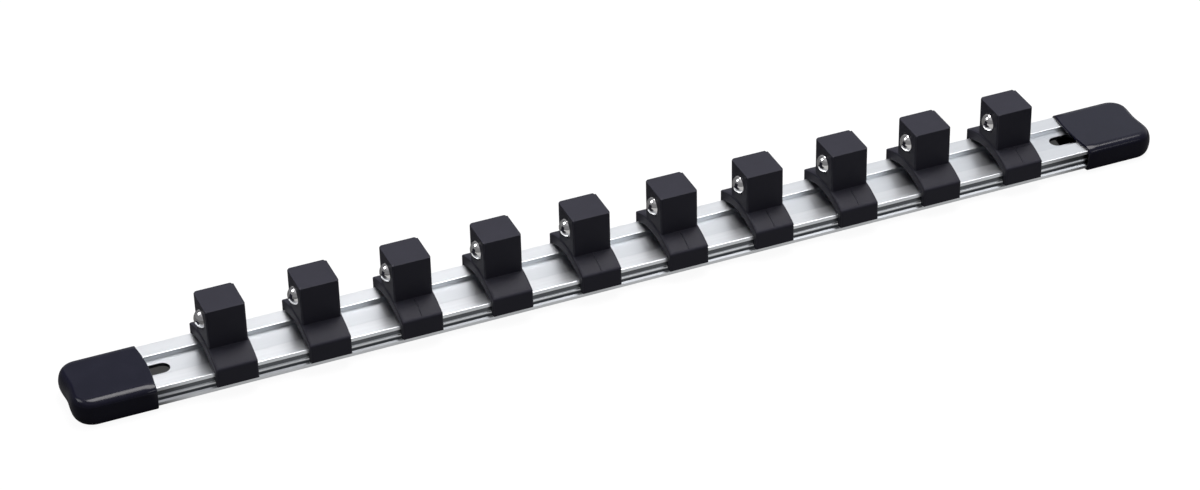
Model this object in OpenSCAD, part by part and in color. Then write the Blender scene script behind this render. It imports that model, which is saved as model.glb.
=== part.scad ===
// Socket rail: an aluminium extrusion with sliding clips, each with a square drive post
// and a sprung ball, closed at both ends by soft pull-off caps.
// Millimetres. X runs along the rail, Y across it, Z up from the surface that it rests on.

/* [Rail] */
// Length of the extrusion, cut square at both ends
rail_l = 358; // [340:1:480]
// Width over the lips and over the feet
rail_w = 23.5; // [21:0.5:30]
// Height from the underside of the feet to the deck
rail_h = 6.7; // [6.3:0.1:9]
// Thickness of the deck and of the lips at its edges
deck_t = 1.2; // [0.8:0.1:1.4]
// Thickness of the feet along both bottom edges
foot_t = 1.2; // [0.8:0.1:1.4]
// Thickness of the two webs
web_t = 1.2; // [0.8:0.1:1.6]
// Depth of the side grooves under the lips
groove_d = 1.15; // [1:0.05:1.6]
// Height and depth of the bead that runs along each web
bead = 0.4; // [0.2:0.05:0.6]
// Clear height between a bead and the foot under it
bead_up = 1.35; // [0.6:0.05:1.5]
// Radius of the extrusion's outer edges
edge_r = 0.3; // [0.1:0.05:0.5]

/* [Channel] */
// Width of the sunken strip along the middle of the deck
channel_w = 10.6; // [8:0.2:11]
// Depth of the sunken strip
channel_d = 1.6; // [0.8:0.1:2]

/* [Screw slots] */
// Width of the slots, which end in half rounds
slot_w = 5.4; // [4:0.1:6.5]
// Length of a slot over its round ends
slot_l = 9.6; // [7:0.1:9.8]
// Distance from the end of the rail to the middle of its slot
slot_in = 21.8; // [21.6:0.1:24]

/* [End caps] */
// Outer length of a cap, from the corners of its mouth
cap_l = 25.7; // [25.3:0.1:32]
// Length of rail that a cap covers
cap_grip = 19; // [14:0.5:19.2]
// Wall of the dipped vinyl
cap_wall = 1; // [0.8:0.1:2]
// Radius of the closed end's corners, seen from above
cap_corner_r = 6.2; // [4:0.1:6.4]
// Radius of the cap's long edges
cap_edge_r = 1.9; // [1:0.1:2]
// Length of the closed end's rounded nose, seen from the side
cap_nose = 2.5; // [1.5:0.1:2.8]
// Wall at the tip of the nose
cap_tip_wall = 1.8; // [1.8:0.1:2.4]
// Depth of the waist drawn into the middle of the closed end
cap_waist = 0.4; // [0:0.1:0.5]
// How far the middle of the mouth stands out past its corners
cap_bow = 0.75; // [0:0.05:1]
// Clearance between the cap and the rail on every side
cap_fit = 0.05; // [0.03:0.01:0.1]

/* [Clips] */
// Number of clips
clip_count = 10; // [1:1:10]
// Distance from a cap's mouth to the middle of the clip next to it
clip_margin = 25; // [22:0.5:30]
// Length of a clip's saddle along the rail
saddle_l = 13.4; // [12.8:0.1:16]
// Thickness of the two legs
leg_t = 2.15; // [1.8:0.05:3]
// How far the legs reach down past the deck
leg_drop = 4; // [3.4:0.1:4.2]
// Height of the saddle above the deck where the post rises from it
saddle_h = 5.3; // [4.6:0.1:6]
// Radius of the saddle's crowned top, seen along the rail
crown_r = 29; // [24:0.5:40]
// Radius of the shoulder between the crown and a leg
shoulder_r = 1.3; // [0.8:0.1:2]
// Rise of the arch under the saddle, above the deck
arch_h = 2.6; // [1.2:0.1:3]
// Width of the two pads that the saddle bears on
pad_w = 0.75; // [0.5:0.05:1.5]
// How far each hook reaches in under its lip
hook_in = 0.75; // [0.4:0.05:0.95]
// Height of a hook
hook_h = 2; // [1.4:0.1:2.2]
// Radius of the saddle's edges
saddle_r = 0.7; // [0.3:0.1:1.2]
// Clearance over the deck and under the lips
slide_fit = 0.04; // [0.02:0.01:0.1]
// Clearance between a leg and the edge of the rail
side_fit = 0.1; // [0.05:0.01:0.2]

/* [Drive posts] */
// Width of the square post across its flats
post_w = 12.7; // [12.4:0.05:12.7]
// Height of the post's top above the deck
post_top = 18.7; // [17.8:0.1:24]
// Radius of the post's upright edges
post_r = 0.8; // [0.3:0.1:1.2]
// Radius of the post's top edges
post_top_r = 1.1; // [0.4:0.1:1.6]

/* [Detent balls] */
// Diameter of the ball
ball_d = 6.35; // [5:0.05:7]
// How far the ball stands out of the post's side
ball_out = 2.15; // [1.4:0.05:2.15]
// Height of the ball's centre above the deck
ball_up = 12.7; // [11.5:0.1:13.6]
// Clearance all round the ball in its bore
ball_fit = 0.05; // [0.02:0.01:0.1]
// Thickness of the rim turned in over the ball
rim_t = 0.25; // [0.2:0.05:0.3]
// Width of the bevel that leads into the rim
rim_bevel = 0.35; // [0.1:0.05:0.5]
// Depth of the bore from the post's side
bore_l = 9.9; // [9.4:0.1:11]

/* [Springs] */
// Diameter of the spring wire
wire_d = 0.6; // [0.4:0.05:0.7]
// Outer diameter of the spring
spring_d = 5; // [4:0.1:5.4]
// Number of turns
spring_turns = 4.5; // [3:0.5:5]

/* [Hidden] */
$fn = 64;
over = 0.5;
seat_gap = 0.03;
deck_z = rail_h + cap_wall + cap_fit;
web_y = rail_w / 2 - groove_d;
slot_x = rail_l / 2 - slot_in;
mouth_x = rail_l / 2 - cap_grip;
clip_pitch = 2 * (mouth_x - clip_margin) / max(clip_count - 1, 1);
leg_y = rail_w / 2 + side_fit + leg_t;
crown_z = saddle_h - sqrt(pow(crown_r, 2) - pow(post_w / 2, 2));
pad_y = rail_w / 2 - pad_w;
arch_r = (pow(pad_y, 2) + pow(arch_h - slide_fit, 2)) / (2 * (arch_h - slide_fit));
ball_r = ball_d / 2;
ball_in = ball_r - ball_out;
rim_r = sqrt(pow(ball_r, 2) - pow(ball_in - rim_t, 2)) + seat_gap;
spring_r = (spring_d - wire_d) / 2;
spring_from = ball_in + sqrt(pow(ball_r + wire_d / 2 + seat_gap, 2) - pow(spring_r, 2));
spring_to = bore_l - wire_d / 2 - seat_gap;
steps_per_turn = 12;
wire_sides = 6;
arc_step = 10;
waist_steps = 12;
mouth_steps = 8;

// Two-digit name of one copy of a repeated piece
function named(word, i) = str(word, "_", i < 10 ? "0" : "", i);
function clip_x(i) = (i - (clip_count + 1) / 2) * clip_pitch;

// Turns an outline drawn as (Y, Z) into a bar along X
module along_x(length) {
    rotate([90, 0, 90]) linear_extrude(length, center = true) children();
}

// What lies outside a rounded corner at point p, whose sides open away from dir
module corner_waste(p, dir, r) {
    translate([p[0] - dir[0] * r, p[1] - dir[1] * r])
        mirror([dir[0] < 0 ? 1 : 0, 0]) mirror([0, dir[1] < 0 ? 1 : 0])
            difference() {
                square(r + over);
                circle(r);
            }
}

module rounded_rect(w, h, r) {
    difference() {
        square([w, h], center = true);
        for (sx = [-1, 1], sy = [-1, 1])
            corner_waste([sx * w / 2, sy * h / 2], [sx, sy], r);
    }
}

// Rail ------------------------------------------------------------------

// Hollow under the deck: it follows the sunken channel at an even thickness
module rail_hollow() {
    inner_y = web_y - web_t;
    step_y = channel_w / 2 + deck_t;
    translate([-inner_y, -rail_h - over])
        square([2 * inner_y, rail_h + over - channel_d - deck_t]);
    for (s = [0, 1]) mirror([s, 0])
        translate([step_y, -rail_h]) square([inner_y - step_y, rail_h - deck_t]);
}

// Side groove that the clips' hooks run in, with the bead along its web
module rail_groove() {
    difference() {
        translate([web_y, foot_t - rail_h])
            square([groove_d + over, rail_h - foot_t - deck_t]);
        translate([web_y - over, foot_t + bead_up - rail_h]) square([bead + over, bead]);
    }
}

module rail_profile() {
    difference() {
        translate([-rail_w / 2, -rail_h]) square([rail_w, rail_h]);
        translate([-channel_w / 2, -channel_d]) square([channel_w, channel_d + over]);
        rail_hollow();
        for (s = [0, 1]) mirror([s, 0]) {
            rail_groove();
            corner_waste([channel_w / 2, 0], [-1, 1], edge_r);
            corner_waste([rail_w / 2, 0], [1, 1], edge_r);
            corner_waste([rail_w / 2, -rail_h], [1, -1], edge_r);
        }
    }
}

module slot_shape() {
    run = slot_l - slot_w;
    square([run, slot_w], center = true);
    for (s = [-1, 1]) translate([s * run / 2, 0]) circle(d = slot_w);
}

module rail() {
    color("gainsboro") translate([0, 0, deck_z]) difference() {
        along_x(rail_l) rail_profile();
        for (s = [-1, 1]) translate([s * slot_x, 0, -rail_h])
            linear_extrude(rail_h + over) slot_shape();
    }
}

// End caps ----------------------------------------------------------------

// Outline of a cap from above, drawn in at its sides and at its closed end, which lies
// at +X. The waist meets the corner arcs, of radius r, level with where it leaves them.
function cap_outline(side_in, end_in, r) =
    let (
        half_w = rail_w / 2 + cap_fit + cap_wall - side_in,
        end_x = cap_l - end_in,
        mid = half_w - r
    )
    concat(
        [for (a = [-90:arc_step:0]) [end_x - r + r * cos(a), -mid + r * sin(a)]],
        [for (k = [1:waist_steps - 1]) let (t = 2 * k / waist_steps - 1)
            [end_x - cap_waist * (1 + cos(180 * t)) / 2, mid * t]],
        [for (a = [0:arc_step:90]) [end_x - r + r * cos(a), mid + r * sin(a)]]
    );

// The mouth's edge from above: it bows out between its corners
function cap_mouth(side_in) =
    let (half_w = rail_w / 2 + cap_fit + cap_wall - side_in)
    [for (k = [0:mouth_steps]) let (t = 1 - 2 * k / mouth_steps)
        [-cap_bow * (1 - t * t), half_w * t]];

// One level of the skin at height z. Its sides are drawn in by the long edges' rounding,
// and its end by the nose, which is half an ellipse over the whole height.
function cap_level(z, height) =
    let (
        from_face = min(z, height - z, cap_edge_r),
        side_in = cap_edge_r - sqrt(pow(cap_edge_r, 2) - pow(cap_edge_r - from_face, 2)),
        end_in = cap_nose * (1 - sqrt(1 - pow(2 * z / height - 1, 2)))
    )
    [for (p = concat(cap_outline(side_in, end_in, cap_corner_r - side_in), cap_mouth(side_in)))
        [p[0], p[1], z]];

module cap_skin() {
    height = rail_h + 2 * (cap_wall + cap_fit);
    levels = [for (a = [0:arc_step:180]) cap_level(height * (1 - cos(a)) / 2, height)];
    n = len(levels[0]);
    polyhedron(
        [for (level = levels) for (p = level) p],
        concat(
            [[for (k = [0:n - 1]) k]],
            [for (j = [0:len(levels) - 2]) for (k = [0:n - 1]) let (m = (k + 1) % n)
                [j * n + k, (j + 1) * n + k, (j + 1) * n + m, j * n + m]],
            [[for (k = [n - 1:-1:0]) (len(levels) - 1) * n + k]]
        ),
        convexity = 4
    );
}

module end_cap(side) {
    color([0.12, 0.12, 0.14]) mirror([side < 0 ? 1 : 0, 0, 0]) translate([mouth_x, 0, 0])
        difference() {
            cap_skin();
            translate([0, 0, cap_wall]) linear_extrude(rail_h + 2 * cap_fit)
                polygon(concat(
                    [[-cap_bow - over, -rail_w / 2 - cap_fit]],
                    cap_outline(cap_wall, cap_tip_wall, cap_corner_r - cap_tip_wall),
                    [[-cap_bow - over, rail_w / 2 + cap_fit]]
                ));
        }
}

// Clips -------------------------------------------------------------------

// Crowned block that the saddle is cut from, with its edges rounded: a turned disc
// gives the crown, and an upright prism gives the legs
module saddle_block() {
    intersection() {
        translate([0, 0, crown_z]) rotate([0, 90, 0]) rotate_extrude(convexity = 4)
            intersection() {
                rounded_rect(2 * crown_r, saddle_l, saddle_r);
                translate([0, -saddle_l]) square([crown_r, 2 * saddle_l]);
            }
        translate([0, 0, -leg_drop]) linear_extrude(leg_drop + saddle_h + over)
            rounded_rect(saddle_l, 2 * leg_y, saddle_r);
    }
}

// What the shoulder fillet takes off, between the crown's line and the leg's
module shoulder_waste() {
    cy = leg_y - shoulder_r;
    cz = crown_z + sqrt(pow(crown_r - shoulder_r, 2) - pow(cy, 2));
    out = [cy, cz - crown_z] / (crown_r - shoulder_r);
    difference() {
        translate([cy, cz]) polygon([
            [0, 0], [2 * shoulder_r, 0], [2 * shoulder_r, 3 * shoulder_r], 3 * shoulder_r * out
        ]);
        translate([cy, cz]) circle(shoulder_r);
    }
}

// Room under the saddle: the rail's edges, the arch between the pads, and the grooves
module saddle_room() {
    inner_y = rail_w / 2 + side_fit;
    hook_z = -deck_t - slide_fit;
    translate([-inner_y, hook_z]) square([2 * inner_y, slide_fit - hook_z]);
    intersection() {
        translate([0, arch_h - arch_r]) circle(arch_r);
        translate([-pad_y, 0]) square([2 * pad_y, arch_h + over]);
    }
    // below the hooks' tops the room narrows, and opens again down their ramps
    hook_y = rail_w / 2 - hook_in;
    for (s = [0, 1]) mirror([s, 0]) polygon([
        [-over, over], [hook_y, over], [hook_y, hook_z - hook_h + (inner_y - hook_y)],
        [inner_y, hook_z - hook_h], [inner_y, -leg_drop - over], [-over, -leg_drop - over]
    ]);
}

module saddle() {
    difference() {
        saddle_block();
        along_x(saddle_l + 2 * over) {
            saddle_room();
            for (s = [0, 1]) mirror([s, 0]) {
                shoulder_waste();
                corner_waste([leg_y, -leg_drop], [1, -1], edge_r);
            }
        }
    }
}

// Square post: three bars crossed, so that every edge but the bottom ones is rounded
module post() {
    foot_z = arch_h + over;
    post_h = post_top - foot_z;
    translate([0, 0, foot_z + post_h / 2]) intersection() {
        linear_extrude(post_h, center = true) rounded_rect(post_w, post_w, post_r);
        for (turn = [0, 90]) rotate(turn) along_x(2 * post_w) post_side(post_h);
    }
}

module post_side(post_h) {
    difference() {
        square([post_w, post_h], center = true);
        for (s = [-1, 1]) corner_waste([s * post_w / 2, post_h / 2], [s, 1], post_top_r);
    }
}

// Bore for the ball and its spring, from the post's left side, with the rim left over it
module ball_bore() {
    translate([-post_w / 2, 0, ball_up]) rotate([0, 90, 0]) {
        translate([0, 0, -over]) cylinder(h = over + rim_t + seat_gap, r = rim_r);
        cylinder(h = rim_t / 2, r1 = rim_r + rim_bevel, r2 = rim_r);
        translate([0, 0, rim_t]) cylinder(h = bore_l - rim_t, r = ball_r + ball_fit);
    }
}

module clip(i) {
    color([0.16, 0.16, 0.18]) translate([clip_x(i), 0, deck_z]) difference() {
        union() {
            saddle();
            post();
        }
        ball_bore();
    }
}

// Detent balls and their springs --------------------------------------------

module ball(i) {
    color("silver") translate([clip_x(i) - post_w / 2 + ball_in, 0, deck_z + ball_up])
        sphere(ball_r);
}

// Ring k of the wire, square to the spring's axis: depth along the bore, then Y and Z
function wire_ring(k) =
    let (
        turn = 360 * k / steps_per_turn,
        depth = spring_from + (spring_to - spring_from) * k / (spring_turns * steps_per_turn)
    )
    [for (s = [0:wire_sides - 1]) let (
        b = 360 * s / wire_sides,
        r = spring_r + wire_d / 2 * cos(b)
    ) [depth + wire_d / 2 * sin(b), r * cos(turn), r * sin(turn)]];

module spring(i) {
    rings = spring_turns * steps_per_turn;
    n = wire_sides;
    color("darkgray") translate([clip_x(i) - post_w / 2, 0, deck_z + ball_up])
        polyhedron(
            [for (k = [0:rings]) for (p = wire_ring(k)) p],
            concat(
                [[for (s = [n - 1:-1:0]) s]],
                [for (k = [0:rings - 1]) for (s = [0:n - 1]) let (t = (s + 1) % n)
                    [k * n + t, (k + 1) * n + t, (k + 1) * n + s, k * n + s]],
                [[for (s = [0:n - 1]) rings * n + s]]
            ),
            convexity = 10
        );
}

rail();
end_cap(-1);  // end_cap_left
end_cap(1);  // end_cap_right
for (i = [1:clip_count]) {
    clip(i);
    ball(i);
    spring(i);
}
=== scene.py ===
import math

import bmesh
import bpy
from mathutils import Matrix, Vector


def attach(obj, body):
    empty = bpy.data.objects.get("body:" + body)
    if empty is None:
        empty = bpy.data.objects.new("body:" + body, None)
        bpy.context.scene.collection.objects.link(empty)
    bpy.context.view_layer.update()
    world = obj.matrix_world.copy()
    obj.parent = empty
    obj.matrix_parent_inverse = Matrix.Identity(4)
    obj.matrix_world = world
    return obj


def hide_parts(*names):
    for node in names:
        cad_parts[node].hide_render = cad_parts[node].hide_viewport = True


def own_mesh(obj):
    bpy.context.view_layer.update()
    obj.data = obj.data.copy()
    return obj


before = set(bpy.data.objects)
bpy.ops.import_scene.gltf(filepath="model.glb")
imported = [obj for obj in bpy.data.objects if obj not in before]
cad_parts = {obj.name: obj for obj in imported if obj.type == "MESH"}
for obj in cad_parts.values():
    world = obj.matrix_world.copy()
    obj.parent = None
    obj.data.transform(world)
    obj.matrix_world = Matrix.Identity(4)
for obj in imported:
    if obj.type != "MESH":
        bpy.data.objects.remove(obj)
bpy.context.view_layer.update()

# --- Rail ---------------------------------------------------------------------------
# An aluminium extrusion, cut to length and clear anodised. The die leaves fine lines
# along its whole length, and the screw slots are milled through the sunken strip.
# The CAD solid is exact, so it stays and only gets its finish.

DECK_Z = 0.00775

# Bands of the rail's profile, in metres out from its middle (OUT) or up from the floor (UP).
# In each pair a band's finish is off at the first value and full at the second. FADE is
# such a pair too, but it counts from the line or level that stands before it.
STRIP_OUT = 0.00535, 0.00525
DIE_LINE_OUT, DIE_LINE_FADE = 0.0054, (0.00016, 0.00010)
# The GROOVE bands, less the BEAD band, and the INSIDE bands are where shade is painted
GROOVE_OUT = (0.01095, 0.01078), (0.0101, 0.0103)
GROOVE_UP = (0.00226, 0.00230), (0.00665, 0.00655)
BEAD_UP, BEAD_FADE = 0.0038, (0.0005, 0.00056)
INSIDE_OUT, INSIDE_UP = (0.0099, 0.0098), (0.0061, 0.0059)
ROLLED_OUT = 0.0106, 0.0107
ROLLED_UP, ROLLED_FADE, ROLLED_LEAN = (0.00225, 0.0040), (0.0001, 0.00006), 1.28


def add_node(tree, kind, sockets=(), **settings):
    """A node with its settings made, and each named socket set or linked."""
    made = tree.nodes.new(kind)
    for name, value in settings.items():
        setattr(made, name, value)
    for name, value in dict(sockets).items():
        if isinstance(value, bpy.types.NodeSocket):
            tree.links.new(value, made.inputs[name])
        else:
            made.inputs[name].default_value = value
    return made


def node_math(tree, operation, *values):
    """The result of a sum on numbers and sockets."""
    return add_node(
        tree, "ShaderNodeMath", dict(enumerate(values)), operation=operation).outputs[0]


def node_range(tree, value, start, end, low=0.0, high=1.0):
    """The value carried from start..end to low..high, and held at those beyond them."""
    return add_node(tree, "ShaderNodeMapRange", {
        "Value": value, "From Min": start, "From Max": end, "To Min": low, "To Max": high,
    }).outputs["Result"]


def node_mix(tree, share, first, second):
    """Two colours mixed: all the first at a share of 0, all the second at 1."""
    first, second = ((*side, 1.0) if isinstance(side, tuple) else side for side in (first, second))
    return add_node(tree, "ShaderNodeMix", {
        "Factor": share, 6: first, 7: second}, data_type="RGBA").outputs[2]


def node_noise(tree, where, scale, detail, roughness=0.5):
    """Noise at these coordinates."""
    return add_node(tree, "ShaderNodeTexNoise", {
        "Vector": where, "Scale": scale, "Detail": detail, "Roughness": roughness}).outputs["Fac"]


def new_group(name, kind, takes, gives):
    """An empty node group with the named sockets: (label, socket type, default)."""
    group = bpy.data.node_groups.new(name, kind)
    for label, socket, value in takes:
        made = group.interface.new_socket(label, in_out="INPUT", socket_type=socket)
        if value is not None:
            made.default_value = value
    for label, socket in gives:
        group.interface.new_socket(label, in_out="OUTPUT", socket_type=socket)
    return group, group.nodes.new("NodeGroupInput"), group.nodes.new("NodeGroupOutput")


def new_finish(name):
    """A node material and its Principled shader."""
    material = bpy.data.materials.new(name)
    material.use_nodes = True
    return material, material.node_tree, material.node_tree.nodes["Principled BSDF"]


# Handling: faint cloudy patches that fingers leave, from 0 clean to 1 touched
handling, takes, gives = new_group(
    "Handling", "ShaderNodeTree",
    [("Patch size", "NodeSocketFloat", 0.02), ("Contrast", "NodeSocketFloat", 0.5)],
    [("Touched", "NodeSocketFloat")],
)
where = add_node(handling, "ShaderNodeTexCoord").outputs["Object"]
per_metre = node_math(handling, "DIVIDE", 1.0, takes.outputs["Patch size"])
cloud = node_noise(handling, where, per_metre, 5.0, 0.6)
half = node_math(handling, "MULTIPLY", takes.outputs["Contrast"], 0.5)
low = node_math(handling, "SUBTRACT", 0.5, half)
high = node_math(handling, "ADD", 0.5, half)
handling.links.new(node_range(handling, cloud, low, high), gives.inputs["Touched"])

# Soft edge: sharp corners catch the light, because real ones are never quite sharp.
# Edge rises as the rounded normal turns away from the face's own; the materials use it
# to paint a highlight along the edges.
soft_edge, takes, gives = new_group(
    "Soft edge", "ShaderNodeTree",
    [("Radius", "NodeSocketFloat", 0.0002)],
    [("Edge", "NodeSocketFloat"), ("Normal", "NodeSocketVector")],
)
rounded = add_node(soft_edge, "ShaderNodeBevel", {"Radius": takes.outputs["Radius"]}, samples=6)
flat = add_node(soft_edge, "ShaderNodeNewGeometry")
along = add_node(soft_edge, "ShaderNodeVectorMath", {
    0: rounded.outputs["Normal"], 1: flat.outputs["Normal"]}, operation="DOT_PRODUCT")
edge = node_range(soft_edge, along.outputs["Value"], 0.995, 0.85)
soft_edge.links.new(edge, gives.inputs["Edge"])
soft_edge.links.new(rounded.outputs["Normal"], gives.inputs["Normal"])

anodised, tree, shader = new_finish("anodised aluminium")
where = add_node(tree, "ShaderNodeTexCoord").outputs["Object"]
spot = add_node(tree, "ShaderNodeSeparateXYZ", {"Vector": where})
out_from_middle = node_math(tree, "ABSOLUTE", spot.outputs["Y"])
touched = add_node(
    tree, "ShaderNodeGroup", {"Patch size": 0.03, "Contrast": 0.5}, node_tree=handling)
edges = add_node(tree, "ShaderNodeGroup", {"Radius": 0.00006}, node_tree=soft_edge)
# the same lines run along every face, because the pattern hardly changes with X
fine = add_node(tree, "ShaderNodeMapping", {"Vector": where, "Scale": (6.0, 5200.0, 5200.0)})
broad = add_node(tree, "ShaderNodeMapping", {"Vector": where, "Scale": (2.0, 500.0, 500.0)})
fine_lines = node_noise(tree, fine.outputs["Vector"], 1.0, 3.0, 0.7)
broad_lines = node_noise(tree, broad.outputs["Vector"], 1.0, 4.0, 0.6)
tone = node_range(tree, broad_lines, 0.3, 0.7)
silver = node_mix(tree, tone, (0.79, 0.81, 0.83), (0.84, 0.86, 0.88))
# painted highlight: the rail's edges are coloured lighter
highlit_silver = node_mix(tree, edges.outputs["Edge"], silver, (0.90, 0.91, 0.92))
# the sunken strip is a shade darker than the lips beside it, and a die line runs along its edge
sunken = node_range(tree, out_from_middle, *STRIP_OUT)
strip = node_mix(tree, node_math(tree, "MULTIPLY", sunken, 0.5), highlit_silver, (0.70, 0.73, 0.76))
from_line = node_math(
    tree, "ABSOLUTE", node_math(tree, "SUBTRACT", out_from_middle, DIE_LINE_OUT))
die_line = node_range(tree, from_line, *DIE_LINE_FADE)
scored = node_mix(tree, node_math(tree, "MULTIPLY", die_line, 0.3), strip, (0.55, 0.58, 0.61))
# painted shade darkens the webs deep in the side grooves, but not the beads or the lips
from_bead = node_math(tree, "ABSOLUTE", node_math(tree, "SUBTRACT", spot.outputs["Z"], BEAD_UP))
groove = 1.0
for value, bands in (
        (out_from_middle, GROOVE_OUT), (spot.outputs["Z"], GROOVE_UP), (from_bead, (BEAD_FADE,))):
    for band in bands:
        groove = node_math(tree, "MULTIPLY", groove, node_range(tree, value, *band))
groove_shaded = node_mix(tree, groove, scored, (0.13, 0.14, 0.15))
# the rough inside, which shows through the slots, is darkened too: painted shade
inside = node_math(
    tree, "MULTIPLY", node_range(tree, out_from_middle, *INSIDE_OUT),
    node_range(tree, spot.outputs["Z"], *INSIDE_UP))
shaded = node_mix(tree, inside, groove_shaded, (0.10, 0.11, 0.12))
tree.links.new(shaded, shader.inputs["Base Color"])
shader.inputs["Metallic"].default_value = 1.0
smooth = node_range(tree, fine_lines, 0.3, 0.7, 0.30, 0.35)
greasy = node_math(tree, "MULTIPLY_ADD", touched.outputs["Touched"], 0.03, smooth)
tree.links.new(greasy, shader.inputs["Roughness"])
lines = add_node(tree, "ShaderNodeBump", {
    "Height": fine_lines, "Distance": 0.000005, "Strength": 0.25,
    "Normal": edges.outputs["Normal"]})
# the upper edges of the feet and the beads are rolled over, so they catch the light in front
rolled = 0.0
for level in ROLLED_UP:
    apart = node_math(tree, "ABSOLUTE", node_math(tree, "SUBTRACT", spot.outputs["Z"], level))
    rolled = node_math(tree, "ADD", node_range(tree, apart, *ROLLED_FADE), rolled)
outer = node_range(tree, out_from_middle, *ROLLED_OUT)
lean = node_math(tree, "MULTIPLY", node_math(tree, "MULTIPLY", rolled, outer), ROLLED_LEAN)
outward = add_node(tree, "ShaderNodeCombineXYZ", {
    "Y": node_math(tree, "MULTIPLY", node_math(tree, "SIGN", spot.outputs["Y"]), lean)})
leaning = add_node(tree, "ShaderNodeVectorMath", {
    0: lines.outputs["Normal"], 1: outward.outputs[0]}, operation="ADD")
tipped = add_node(tree, "ShaderNodeVectorMath", {0: leaning.outputs[0]}, operation="NORMALIZE")
tree.links.new(tipped.outputs[0], shader.inputs["Normal"])
# the lines scatter light across the rail more than along it
shader.inputs["Anisotropic"].default_value = 0.25
across = add_node(tree, "ShaderNodeTangent", direction_type="RADIAL", axis="X")
tree.links.new(across.outputs["Tangent"], shader.inputs["Tangent"])

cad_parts["rail"].material_slots[0].material = anodised

# --- End caps -----------------------------------------------------------------------
# Soft black vinyl, dip-moulded over a former, so that every edge is round and the skin
# is glossy. They are only pushed over the ends of the rail. The middle of the closed end
# is drawn in a little, and the mouth bows out between its corners.

CAP_LENGTH, CAP_MOUTH_X = 0.0257, 0.160
CAP_WALL, CAP_TIP_WALL, CAP_RIM = 0.001, 0.0018, 0.0003
CAP_HALF_WIDTH, CAP_HEIGHT = 0.0128, 0.0088
CAP_CORNER, CAP_NOSE = 0.0062, 0.0025
CAP_EDGE, CAP_TOP_EDGE_IN, CAP_TOP_EDGE_DOWN = 0.0019, 0.0031, 0.0022
CAP_WAIST, CAP_BOW = 0.0004, 0.00075
# The outlines are stacked by the angle round the nose, and lie closer near the flat faces
CAP_LEVELS = [0, 2.5, 5, 9] + list(range(15, 166, 6)) + [171, 175, 177.5, 180]
SIDE_STEPS, CORNER_STEPS, WAIST_STEPS, MOUTH_STEPS = 6, 18, 24, 12
# The rim is rolled over from the outer skin to the inner one, at these shares of the way
RIM_SHARES = 0.15, 0.35, 0.65, 0.85


def cap_outline(side_in, end_in, corner):
    """From the mouth's near corner round the closed end to its far corner, and back along
    the mouth."""
    half, tip = CAP_HALF_WIDTH - side_in, CAP_LENGTH - end_in
    flat = half - corner
    side = tip - corner - CAP_RIM
    near = [(CAP_RIM + side * step / SIDE_STEPS, -half) for step in range(SIDE_STEPS)]
    for step in range(CORNER_STEPS + 1):
        turn = math.radians(-90 + 90 / CORNER_STEPS * step)
        near.append((tip - corner + corner * math.cos(turn), -flat + corner * math.sin(turn)))
    waist = []
    for step in range(1, WAIST_STEPS):
        across = 2 * step / WAIST_STEPS - 1
        waist.append((tip - CAP_WAIST * (1 + math.cos(math.pi * across)) / 2, flat * across))
    mouth = []
    for step in range(1, MOUTH_STEPS):
        across = 1 - 2 * step / MOUTH_STEPS
        mouth.append((CAP_RIM - CAP_BOW * (1 - across ** 2), half * across))
    return near + waist + [(x, -y) for x, y in reversed(near)], mouth


def cap_skin(mesh, outer):
    """One closed skin of the cap as stacked outlines. Returns the loop round its open mouth."""
    rings, mouths = [], []
    for turn in CAP_LEVELS:
        share = (1 - math.cos(math.radians(turn))) / 2
        if outer:
            z = CAP_HEIGHT * share
            top = z > CAP_HEIGHT / 2
            down, across = (CAP_TOP_EDGE_DOWN, CAP_TOP_EDGE_IN) if top else (CAP_EDGE, CAP_EDGE)
            from_face = min(CAP_HEIGHT - z if top else z, down) / down
            side_in = across * (1 - math.sqrt(1 - (1 - from_face) ** 2))
            end_in = CAP_NOSE * (1 - math.sqrt(max(0.0, 1 - (2 * share - 1) ** 2)))
            outline, mouth = cap_outline(side_in, end_in, CAP_CORNER - side_in)
        else:
            z = CAP_WALL + (CAP_HEIGHT - 2 * CAP_WALL) * share
            from_face = min(z - CAP_WALL, CAP_HEIGHT - CAP_WALL - z, CAP_RIM)
            round_in = CAP_RIM - math.sqrt(CAP_RIM ** 2 - (CAP_RIM - from_face) ** 2)
            outline, mouth = cap_outline(
                CAP_WALL + round_in, CAP_TIP_WALL + round_in,
                CAP_CORNER - CAP_TIP_WALL - round_in)
        rings.append([mesh.verts.new((x, y, z)) for x, y in outline])
        mouths.append((mouth, z))
    for low, high in zip(rings, rings[1:]):
        for a, b, c, d in zip(low, low[1:], high[1:], high):
            mesh.faces.new((a, b, c, d) if outer else (a, d, c, b))
    edges = []
    for ring, (mouth, z), facing_up in (
            (rings[0], mouths[0], False), (rings[-1], mouths[-1], True)):
        edge = [mesh.verts.new((x, y, z)) for x, y in mouth]
        loop = ring + edge
        mesh.faces.new(loop if facing_up == outer else loop[::-1])
        edges.append(edge)
    first, last = [ring[0] for ring in rings], [ring[-1] for ring in rings]
    return first + edges[1][::-1] + last[::-1] + edges[0]


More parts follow.
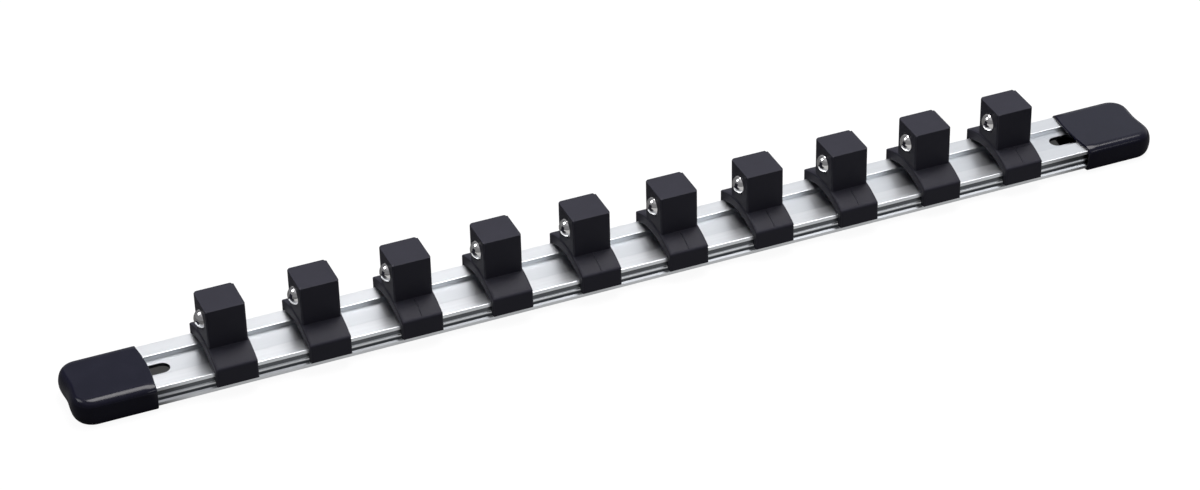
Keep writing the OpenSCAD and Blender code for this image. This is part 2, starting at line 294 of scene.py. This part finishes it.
def cap_piece(name, side):
    """The cap's outer skin and its inner one, joined round the rolled rim of the mouth."""
    mesh = bmesh.new()
    outer, inner = cap_skin(mesh, True), cap_skin(mesh, False)
    flats = [face for face in mesh.faces if len(face.verts) > 4]
    rows = [outer]
    for share in RIM_SHARES:
        out = Vector((-CAP_RIM * math.sqrt(1 - (2 * share - 1) ** 2), 0, 0))
        rows.append([mesh.verts.new(a.co.lerp(b.co, share) + out) for a, b in zip(outer, inner)])
    rows.append(inner)
    for row, after in zip(rows, rows[1:]):
        for k in range(len(row)):
            m = (k + 1) % len(row)
            mesh.faces.new((row[k], row[m], after[m], after[k]))
    for vert in mesh.verts:
        vert.co.x = side * (vert.co.x + CAP_MOUTH_X)
    bmesh.ops.recalc_face_normals(mesh, faces=mesh.faces)
    for face in mesh.faces:
        face.smooth = face not in flats
    data = bpy.data.meshes.new(name)
    mesh.to_mesh(data)
    mesh.free()
    piece = bpy.data.objects.new(name, data)
    bpy.context.scene.collection.objects.link(piece)
    return piece


# Skin: the slow waves that a dipped or moulded surface has, and a fine grain over them
skin, takes, gives = new_group(
    "Moulded skin", "ShaderNodeTree",
    [("Wave size", "NodeSocketFloat", 0.003), ("Grain size", "NodeSocketFloat", 0.0001),
     ("Grain share", "NodeSocketFloat", 0.2)],
    [("Height", "NodeSocketFloat"), ("Grain", "NodeSocketFloat")],
)
where = add_node(skin, "ShaderNodeTexCoord").outputs["Object"]
waves_per_metre = node_math(skin, "DIVIDE", 1.0, takes.outputs["Wave size"])
grains_per_metre = node_math(skin, "DIVIDE", 1.0, takes.outputs["Grain size"])
waves = node_noise(skin, where, waves_per_metre, 2.0, 0.4)
grain = node_noise(skin, where, grains_per_metre, 2.0, 0.6)
both = add_node(skin, "ShaderNodeMix", {
    "Factor": takes.outputs["Grain share"], "A": waves, "B": grain})
skin.links.new(both.outputs["Result"], gives.inputs["Height"])
skin.links.new(grain, gives.inputs["Grain"])

vinyl, tree, shader = new_finish("dipped black vinyl")
surface = add_node(tree, "ShaderNodeGroup", {
    "Wave size": 0.004, "Grain size": 0.0003, "Grain share": 0.02}, node_tree=skin)
touched = add_node(
    tree, "ShaderNodeGroup", {"Patch size": 0.008, "Contrast": 0.5}, node_tree=handling)
black = node_mix(tree, touched.outputs["Touched"], (0.003, 0.003, 0.012), (0.005, 0.005, 0.016))
tree.links.new(black, shader.inputs["Base Color"])
gloss = node_range(tree, touched.outputs["Touched"], 0.0, 1.0, 0.16, 0.22)
tree.links.new(gloss, shader.inputs["Roughness"])
orange_peel = add_node(tree, "ShaderNodeBump", {
    "Height": surface.outputs["Height"], "Distance": 0.00004, "Strength": 0.5})
tree.links.new(orange_peel.outputs["Normal"], shader.inputs["Normal"])
shader.inputs["Specular IOR Level"].default_value = 0.31

for name, side in (("end_cap_left", -1), ("end_cap_right", 1)):
    cap = cap_piece(f"{name}_skin", side)
    cap.data.materials.append(vinyl)
    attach(cap, name)
    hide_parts(name)

# --- Clips --------------------------------------------------------------------------
# Moulded black plastic, saddle and square post in one piece. The mould's grain leaves
# them matte, and the hooks under the saddle snap over the rail's lips. The CAD solids
# are exact, so they stay.

CLIP_COUNT, CLIP_PITCH = 10, 0.030
clip_names = [f"{n:02d}" for n in range(1, CLIP_COUNT + 1)]
clip_middles = [(n - (CLIP_COUNT + 1) / 2) * CLIP_PITCH for n in range(1, CLIP_COUNT + 1)]

plastic, tree, shader = new_finish("matte black plastic")
surface = add_node(tree, "ShaderNodeGroup", {
    "Wave size": 0.0025, "Grain size": 0.00012, "Grain share": 0.45}, node_tree=skin)
touched = add_node(
    tree, "ShaderNodeGroup", {"Patch size": 0.006, "Contrast": 0.6}, node_tree=handling)
edges = add_node(tree, "ShaderNodeGroup", {"Radius": 0.0003}, node_tree=soft_edge)
# where the surface turns from one face to the next, none of its normal's parts is near 1
facing = add_node(tree, "ShaderNodeVectorMath", {
    0: add_node(tree, "ShaderNodeNewGeometry").outputs["Normal"]}, operation="ABSOLUTE")
parts = add_node(tree, "ShaderNodeSeparateXYZ", {"Vector": facing.outputs[0]})
most = node_math(tree, "MAXIMUM", node_math(
    tree, "MAXIMUM", parts.outputs["X"], parts.outputs["Y"]), parts.outputs["Z"])
turning = node_range(tree, most, 0.90, 0.80)
# painted highlight: the rounded edges and corners are coloured lighter
lit_edges = node_math(tree, "MAXIMUM", turning, edges.outputs["Edge"])
charcoal = node_mix(
    tree, touched.outputs["Touched"], (0.019, 0.0185, 0.028), (0.023, 0.0225, 0.034))
highlit_charcoal = node_mix(tree, lit_edges, charcoal, (0.038, 0.037, 0.050))
tree.links.new(highlit_charcoal, shader.inputs["Base Color"])
dull = node_range(tree, surface.outputs["Grain"], 0.3, 0.7, 0.42, 0.54)
tree.links.new(dull, shader.inputs["Roughness"])
spark_grain = add_node(tree, "ShaderNodeBump", {
    "Height": surface.outputs["Height"], "Distance": 0.00002, "Strength": 0.5,
    "Normal": edges.outputs["Normal"]})
tree.links.new(spark_grain.outputs["Normal"], shader.inputs["Normal"])
shader.inputs["Specular IOR Level"].default_value = 0.17

for name in clip_names:
    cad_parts[f"clip_{name}"].material_slots[0].material = plastic

# --- Parting ridges -----------------------------------------------------------------
# The mould leaves a thin raised line down the middle of some saddles' front shelves, and
# on the last clip a second one across the foot of the post. They are part of the clip.

CROWN_RADIUS, SADDLE_TOP = 0.029, 0.0053
SHOULDER_RADIUS, SHOULDER_Y = 0.0013, 0.0127
FOOT_OF_POST, RIDGE_WIDTH = 0.00635, 0.0003
BAR_HALF, BAR_IN_FRONT = 0.0058, 0.0007
RIDGE_STEPS, BAR_STEPS, ROUND_SIDES = 24, 8, 10
# How far each ridge stands out of its clip
RIDGE_RISES = {
    "03": 0.00003, "05": 0.00006, "06": 0.00003, "07": 0.00003, "08": 0.00006, "10": 0.0001}
crown_middle_z = SADDLE_TOP - math.sqrt(CROWN_RADIUS ** 2 - FOOT_OF_POST ** 2)

ridge_tree, takes, gives = new_group(
    "Parting ridge", "GeometryNodeTree",
    [("Seat", "NodeSocketVector", None), ("Crown radius", "NodeSocketFloat", CROWN_RADIUS),
     ("From angle", "NodeSocketFloat", 0.2), ("To angle", "NodeSocketFloat", 0.5),
     ("Width", "NodeSocketFloat", RIDGE_WIDTH), ("Rise", "NodeSocketFloat", 0.00008),
     ("Bar half length", "NodeSocketFloat", BAR_HALF), ("Bar angle", "NodeSocketFloat", 0.24),
     ("With bar", "NodeSocketBool", False)],
    [("Geometry", "NodeSocketGeometry")],
)


def crown_point(tree, angle, radius, seat, x=0.0):
    """The point of the crown's arc at this angle in front of its top."""
    y = node_math(
        tree, "MULTIPLY", node_math(tree, "SINE", angle), node_math(tree, "MULTIPLY", radius, -1.0))
    z = node_math(tree, "MULTIPLY", node_math(tree, "COSINE", angle), radius)
    spot = add_node(tree, "ShaderNodeCombineXYZ", {"X": x, "Y": y, "Z": z})
    return add_node(
        tree, "ShaderNodeVectorMath", {0: spot.outputs[0], 1: seat}, operation="ADD").outputs[0]


def stepped_line(tree, points):
    """A straight curve of this many points, to be set in place one by one."""
    straight = add_node(tree, "GeometryNodeCurvePrimitiveLine")
    return add_node(tree, "GeometryNodeResampleCurve", {
        "Curve": straight.outputs[0], "Count": points}).outputs[0]


def sweep_into(tree, curve, profile, finish, gives):
    """The curve given its profile and material, as the mesh that the tree hands out."""
    swept = add_node(tree, "GeometryNodeCurveToMesh", {
        "Curve": curve, "Profile Curve": profile, "Fill Caps": True})
    real = add_node(tree, "GeometryNodeRealizeInstances", {"Geometry": swept.outputs[0]})
    painted = add_node(tree, "GeometryNodeSetMaterial", {
        "Geometry": real.outputs[0], "Material": finish})
    tree.links.new(painted.outputs[0], gives.inputs["Geometry"])


seat, crown = takes.outputs["Seat"], takes.outputs["Crown radius"]
share = add_node(ridge_tree, "GeometryNodeSplineParameter").outputs["Factor"]
sweep = node_math(ridge_tree, "SUBTRACT", takes.outputs["To angle"], takes.outputs["From angle"])
angle = node_math(ridge_tree, "MULTIPLY_ADD", share, sweep, takes.outputs["From angle"])
arc = add_node(ridge_tree, "GeometryNodeSetPosition", {
    "Geometry": stepped_line(ridge_tree, RIDGE_STEPS + 1),
    "Position": crown_point(ridge_tree, angle, crown, seat)})
bar_x = node_math(
    ridge_tree, "MULTIPLY", node_math(ridge_tree, "MULTIPLY_ADD", share, 2.0, -1.0),
    takes.outputs["Bar half length"])
bar = add_node(ridge_tree, "GeometryNodeSetPosition", {
    "Geometry": stepped_line(ridge_tree, BAR_STEPS + 1),
    "Position": crown_point(ridge_tree, takes.outputs["Bar angle"], crown, seat, bar_x)})
chosen = add_node(ridge_tree, "GeometryNodeSwitch", {
    "Switch": takes.outputs["With bar"], "True": bar.outputs[0]}, input_type="GEOMETRY")
joined = add_node(ridge_tree, "GeometryNodeJoinGeometry")
ridge_tree.links.new(arc.outputs[0], joined.inputs[0])
ridge_tree.links.new(chosen.outputs[0], joined.inputs[0])
upright = add_node(
    ridge_tree, "GeometryNodeSetCurveNormal", {"Curve": joined.outputs[0]}, mode="Z_UP")
disc = add_node(ridge_tree, "GeometryNodeCurvePrimitiveCircle", {
    "Resolution": ROUND_SIDES, "Radius": 1.0})
oval_size = add_node(ridge_tree, "ShaderNodeCombineXYZ", {
    "X": node_math(ridge_tree, "MULTIPLY", takes.outputs["Width"], 0.5),
    "Y": takes.outputs["Rise"], "Z": 1.0})
oval = add_node(ridge_tree, "GeometryNodeTransform", {
    "Geometry": disc.outputs[0], "Scale": oval_size.outputs[0]})
sweep_into(ridge_tree, upright.outputs[0], oval.outputs[0], plastic, gives)


def grown(name, tree, sizes):
    """A plain mesh from a Geometry Nodes tree, given its sizes by name."""
    seed = bpy.data.objects.new("seed", bpy.data.meshes.new("seed"))
    bpy.context.scene.collection.objects.link(seed)
    maker = seed.modifiers.new("maker", "NODES")
    maker.node_group = tree
    for socket in tree.interface.items_tree:
        if socket.in_out == "INPUT" and socket.name in sizes:
            maker[socket.identifier] = sizes[socket.name]
    shaped = seed.evaluated_get(bpy.context.evaluated_depsgraph_get())
    data = bpy.data.meshes.new_from_object(shaped)
    seed.modifiers.remove(maker)
    bpy.data.objects.remove(seed)
    mesh = bmesh.new()
    mesh.from_mesh(data)
    bmesh.ops.recalc_face_normals(mesh, faces=mesh.faces)
    for face in mesh.faces:
        face.smooth = len(face.verts) == 4
    mesh.to_mesh(data)
    mesh.free()
    data.name = name
    piece = bpy.data.objects.new(name, data)
    bpy.context.scene.collection.objects.link(piece)
    return piece


for name, rise in RIDGE_RISES.items():
    ridge = grown(f"clip_{name}_parting_ridge", ridge_tree, {
        "Seat": (clip_middles[int(name) - 1], 0.0, DECK_Z + crown_middle_z),
        "Crown radius": CROWN_RADIUS,
        "From angle": math.asin(FOOT_OF_POST / CROWN_RADIUS),
        "To angle": math.asin(SHOULDER_Y / (CROWN_RADIUS - SHOULDER_RADIUS)),
        "Width": RIDGE_WIDTH, "Rise": rise, "Bar half length": BAR_HALF,
        "Bar angle": math.asin((FOOT_OF_POST + BAR_IN_FRONT) / CROWN_RADIUS),
        "With bar": name == "10",
    })
    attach(ridge, f"clip_{name}")

# --- Detent balls -------------------------------------------------------------------
# Chromed steel balls, held in the post by the rim that is turned in over them. The
# spring behind presses each one into the groove inside a socket's square.

chrome, tree, shader = new_finish("polished chrome")
touched = add_node(
    tree, "ShaderNodeGroup", {"Patch size": 0.002, "Contrast": 0.7}, node_tree=handling)
steel = node_mix(tree, touched.outputs["Touched"], (0.90, 0.89, 0.88), (0.84, 0.83, 0.82))
tree.links.new(steel, shader.inputs["Base Color"])
shader.inputs["Metallic"].default_value = 1.0
polish = node_range(tree, touched.outputs["Touched"], 0.0, 1.0, 0.05, 0.12)
tree.links.new(polish, shader.inputs["Roughness"])

for name in clip_names:
    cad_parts[f"ball_{name}"].material_slots[0].material = chrome

# --- Springs ------------------------------------------------------------------------
# Compression springs of drawn steel wire, one behind each ball, with the end turns
# closed. They are hidden in the posts.

WIRE, SPRING_ACROSS, SPRING_TURNS, STEPS_PER_TURN = 0.0006, 0.0050, 4.5, 24
# Along the bore, from the middle of the clip
SPRING_FROM, SPRING_TO, BORE_END = -0.002596, 0.00322, 0.00355
BALL_TRAVEL, BALL_UP = 0.0020, 0.0127
# A closed turn climbs by a little more than the wire's thickness, so that it clears itself
CLOSED_PITCH = 1.05

wire, tree, shader = new_finish("drawn spring steel")
where = add_node(tree, "ShaderNodeTexCoord").outputs["Object"]
draw_marks = node_noise(tree, where, 6000.0, 3.0)
grey = node_mix(tree, draw_marks, (0.42, 0.42, 0.43), (0.60, 0.60, 0.61))
tree.links.new(grey, shader.inputs["Base Color"])
shader.inputs["Metallic"].default_value = 1.0
rub = node_range(tree, draw_marks, 0.0, 1.0, 0.25, 0.40)
tree.links.new(rub, shader.inputs["Roughness"])

spring_tree, takes, gives = new_group(
    "Compression spring", "GeometryNodeTree",
    [("Seat", "NodeSocketVector", None), ("Wire", "NodeSocketFloat", WIRE),
     ("Across", "NodeSocketFloat", SPRING_ACROSS), ("Turns", "NodeSocketFloat", SPRING_TURNS),
     ("From", "NodeSocketFloat", 0.0), ("To", "NodeSocketFloat", 0.006),
     ("Steps per turn", "NodeSocketInt", STEPS_PER_TURN)],
    [("Geometry", "NodeSocketGeometry")],
)
turns = takes.outputs["Turns"]
count = node_math(spring_tree, "MULTIPLY", turns, takes.outputs["Steps per turn"])
share = add_node(spring_tree, "GeometryNodeSplineParameter").outputs["Factor"]
turned = node_math(spring_tree, "MULTIPLY", share, turns)
# the first and the last turn are closed, and what is left of the length is open
closed = node_math(spring_tree, "MULTIPLY", takes.outputs["Wire"], CLOSED_PITCH)
length = node_math(spring_tree, "SUBTRACT", takes.outputs["To"], takes.outputs["From"])
open_part = node_math(spring_tree, "MULTIPLY_ADD", closed, -2.0, length)
last = node_math(spring_tree, "SUBTRACT", turns, 1.0)
depth = takes.outputs["From"]
for start, end, climb in ((0.0, 1.0, closed), (1.0, last, open_part), (last, turns, closed)):
    climbed = node_range(spring_tree, turned, start, end, 0.0, climb)
    depth = node_math(spring_tree, "ADD", depth, climbed)
angle = node_math(spring_tree, "MULTIPLY", turned, 2 * math.pi)
radius = node_math(
    spring_tree, "MULTIPLY",
    node_math(spring_tree, "SUBTRACT", takes.outputs["Across"], takes.outputs["Wire"]), 0.5)
spot = add_node(spring_tree, "ShaderNodeCombineXYZ", {
    "X": depth,
    "Y": node_math(spring_tree, "MULTIPLY", radius, node_math(spring_tree, "COSINE", angle)),
    "Z": node_math(spring_tree, "MULTIPLY", radius, node_math(spring_tree, "SINE", angle))})
placed = add_node(spring_tree, "ShaderNodeVectorMath", {
    0: spot.outputs[0], 1: takes.outputs["Seat"]}, operation="ADD")
coiled = add_node(spring_tree, "GeometryNodeSetPosition", {
    "Geometry": stepped_line(spring_tree, node_math(spring_tree, "ADD", count, 1.0)),
    "Position": placed.outputs[0]})
section = add_node(spring_tree, "GeometryNodeCurvePrimitiveCircle", {
    "Resolution": ROUND_SIDES,
    "Radius": node_math(spring_tree, "MULTIPLY", takes.outputs["Wire"], 0.5)})
sweep_into(spring_tree, coiled.outputs[0], section.outputs[0], wire, gives)

for name, middle in zip(clip_names, clip_middles):
    coil = grown(f"spring_{name}_coil", spring_tree, {
        "Seat": (middle, 0.0, DECK_Z + BALL_UP), "Wire": WIRE, "Across": SPRING_ACROSS,
        "Turns": SPRING_TURNS, "From": SPRING_FROM, "To": SPRING_TO})
    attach(coil, f"clip_{name}")
    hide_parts(f"spring_{name}")
    room = BORE_END - SPRING_FROM + WIRE / 2
    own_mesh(coil)

# --- Floor, light and camera ----------------------------------------------------------
# A white floor, with a painted shadow under the rail and a patch in front of it that
# glows only in reflections, in a studio that is light behind the object and dim in front
# of it, with one softbox overhead, a smaller one high on the left and a weak one in front.

FLOOR_HALF = 3
# The strip of floor under the rail, which lies a little back from its middle line.
# A shadow is painted on it.
UNDER_HALF_WIDTH, UNDER_HALF_LENGTH, UNDER_BACK, UNDER_FADE = 0.0095, 0.178, 0.001, 0.001
UNDER_GLOW, FLOOR_GLOW = 0.06, 0.93
# The patch of floor that metal and plastic mirror best, in pairs from its outside inwards.
# It glows more, but only in reflections: a painted reflection on their sides.
MIRRORED_FRONT_Y, MIRRORED_OUT_X = (-0.008, -0.014), (0.158, 0.148)
MIRRORED_PATCH, MIRRORED_REST = 0.42, 0.03

floor_data = bpy.data.meshes.new("floor")
floor_data.from_pydata(
    [(FLOOR_HALF * x, FLOOR_HALF * y, 0) for x, y in ((-1, -1), (1, -1), (1, 1), (-1, 1))],
    [], [(0, 1, 2, 3)])
floor = bpy.data.objects.new("floor", floor_data)
bpy.context.scene.collection.objects.link(floor)
paper, tree, shader = new_finish("white paper")
light_path = add_node(tree, "ShaderNodeLightPath")
where = add_node(tree, "ShaderNodeTexCoord").outputs["Object"]
spot = add_node(tree, "ShaderNodeSeparateXYZ", {"Vector": where})
# painted shadow: the strip under the rail hardly glows, so it shows dark through the slots
off_strip = node_math(tree, "ABSOLUTE", node_math(tree, "SUBTRACT", spot.outputs["Y"], UNDER_BACK))
beside = node_math(tree, "SUBTRACT", off_strip, UNDER_HALF_WIDTH)
off_middle = node_math(tree, "ABSOLUTE", spot.outputs["X"])
beyond = node_math(tree, "SUBTRACT", off_middle, UNDER_HALF_LENGTH)
open_floor = node_range(
    tree, node_math(tree, "MAXIMUM", beside, beyond), 0.0, UNDER_FADE, UNDER_GLOW, 1.0)
seen = node_math(
    tree, "ADD", light_path.outputs["Is Camera Ray"], light_path.outputs["Is Transmission Ray"])
# painted reflection: in front of the rail the floor glows more, but only in reflections
patch = node_math(
    tree, "MULTIPLY", node_range(tree, spot.outputs["Y"], *MIRRORED_FRONT_Y),
    node_range(tree, off_middle, *MIRRORED_OUT_X))
mirrored = node_math(tree, "MULTIPLY_ADD", patch, MIRRORED_PATCH, MIRRORED_REST)
shown = node_math(tree, "MULTIPLY_ADD", light_path.outputs["Is Glossy Ray"], mirrored, seen)
glow = node_math(tree, "MULTIPLY", node_math(tree, "MULTIPLY", shown, FLOOR_GLOW), open_floor)
shader.inputs["Base Color"].default_value = (0.10, 0.10, 0.10, 1.0)
shader.inputs["Roughness"].default_value = 1.0
shader.inputs["Specular IOR Level"].default_value = 0.0
shader.inputs["Emission Color"].default_value = (1.0, 1.0, 1.0, 1.0)
tree.links.new(glow, shader.inputs["Emission Strength"])
floor.data.materials.append(paper)

# How the room goes round, in degrees to the right of straight behind the object
ROOM = [
    (-85, (0.12, 0.12, 0.13)), (-55, (0.10, 0.10, 0.11)), (-30, (0.10, 0.10, 0.11)),
    (-23, (0.05, 0.05, 0.06)), (-14, (0.05, 0.05, 0.06)), (-5, (0.26, 0.26, 0.275)),
    (12, (0.30, 0.31, 0.325)), (22, (0.38, 0.39, 0.405)), (32, (0.66, 0.68, 0.71)),
    (65, (0.85, 0.85, 0.88)), (95, (0.25, 0.25, 0.28)), (130, (0.12, 0.12, 0.13))]
CEILING, CEILING_FROM, CEILING_TO = (0.34, 0.34, 0.36), 0.62, 0.85
ROOM_WHITE_IN_GLOSS = 0.1

world = bpy.data.worlds.new("studio")
bpy.context.scene.world = world
world.use_nodes = True
tree = world.node_tree
tree.nodes.clear()
light_path = add_node(tree, "ShaderNodeLightPath")
direction = add_node(tree, "ShaderNodeTexCoord").outputs["Generated"]
parts = add_node(tree, "ShaderNodeSeparateXYZ", {"Vector": direction})
bearing = node_math(tree, "ARCTAN2", parts.outputs["X"], parts.outputs["Y"])
around = node_range(tree, bearing, -math.pi, math.pi)
room = add_node(tree, "ShaderNodeValToRGB", {"Fac": around})
ramp = room.color_ramp
while len(ramp.elements) < len(ROOM):
    ramp.elements.new(0.5)
for element, (degrees, colour) in zip(ramp.elements, ROOM):
    element.position = (degrees + 180) / 360
    element.color = (*colour, 1.0)
upward = node_range(tree, parts.outputs["Z"], CEILING_FROM, CEILING_TO)
walls = node_mix(tree, upward, room.outputs["Color"], CEILING)
seen = node_math(
    tree, "ADD", light_path.outputs["Is Camera Ray"], light_path.outputs["Is Transmission Ray"])
shown = add_node(tree, "ShaderNodeMath", {
    0: light_path.outputs["Is Glossy Ray"], 1: ROOM_WHITE_IN_GLOSS, 2: seen},
    operation="MULTIPLY_ADD", use_clamp=True)
studio = node_mix(tree, shown.outputs[0], walls, (1.0, 1.0, 1.0))
sky = add_node(tree, "ShaderNodeBackground", {"Color": studio, "Strength": 1.0})
add_node(tree, "ShaderNodeOutputWorld", {"Surface": sky.outputs["Background"]})


def softbox(name, place, width, height, watts, colour):
    """A soft lamp that faces the middle of the rail."""
    data = bpy.data.lights.new(name, "AREA")
    data.shape, data.size, data.size_y, data.energy = "RECTANGLE", width, height, watts
    data.color = colour
    lamp = bpy.data.objects.new(name, data)
    lamp.location = place
    lamp.rotation_mode = "QUATERNION"
    lamp.rotation_quaternion = (-Vector(place)).to_track_quat("-Z", "Y")
    bpy.context.scene.collection.objects.link(lamp)


softbox("overhead softbox", (0.20, 0.22, 0.95), 0.84, 0.55, 10.2, (1.0, 0.98, 0.98))
softbox("front softbox", (0.40, -0.80, 0.58), 0.50, 0.16, 0.8, (0.95, 0.97, 1.0))
softbox("left softbox", (-0.70, 0.35, 0.75), 0.42, 0.42, 2.1, (0.97, 0.98, 1.0))

# The photograph's own viewpoint: how far the camera is turned round, raised and rolled,
# its distance, and how far its line of sight passes from the middle of the deck
AZIMUTH, ELEVATION, ROLL = math.radians(-22.028), math.radians(33.843), math.radians(1.435)
DISTANCE, ASIDE, ABOVE = 1.1030, 0.00917, -0.00015
# The focal length is known in pixels of the photograph's width
FOCAL_PIXELS, PHOTO_WIDTH, SENSOR = 3462.5, 1200, 36

behind = Vector((
    math.sin(AZIMUTH) * math.cos(ELEVATION), -math.cos(AZIMUTH) * math.cos(ELEVATION),
    math.sin(ELEVATION)))
right = Vector((math.cos(AZIMUTH), math.sin(AZIMUTH), 0))
up = behind.cross(right)
rolled_right = math.cos(ROLL) * right - math.sin(ROLL) * up
rolled_up = math.sin(ROLL) * right + math.cos(ROLL) * up
camera = bpy.data.objects.new("camera", bpy.data.cameras.new("camera"))
camera.data.sensor_width, camera.data.sensor_fit = SENSOR, "HORIZONTAL"
camera.data.lens = FOCAL_PIXELS / PHOTO_WIDTH * SENSOR
camera.data.clip_start, camera.data.clip_end = 0.05, 20
place = Vector((0, 0, DECK_Z)) + DISTANCE * behind - ASIDE * rolled_right - ABOVE * rolled_up
turned_to = Matrix((rolled_right, rolled_up, behind)).transposed().to_4x4()
camera.matrix_world = Matrix.Translation(place) @ turned_to
bpy.context.scene.collection.objects.link(camera)
bpy.context.scene.camera = camera
bpy.context.scene.view_settings.view_transform = "Standard"
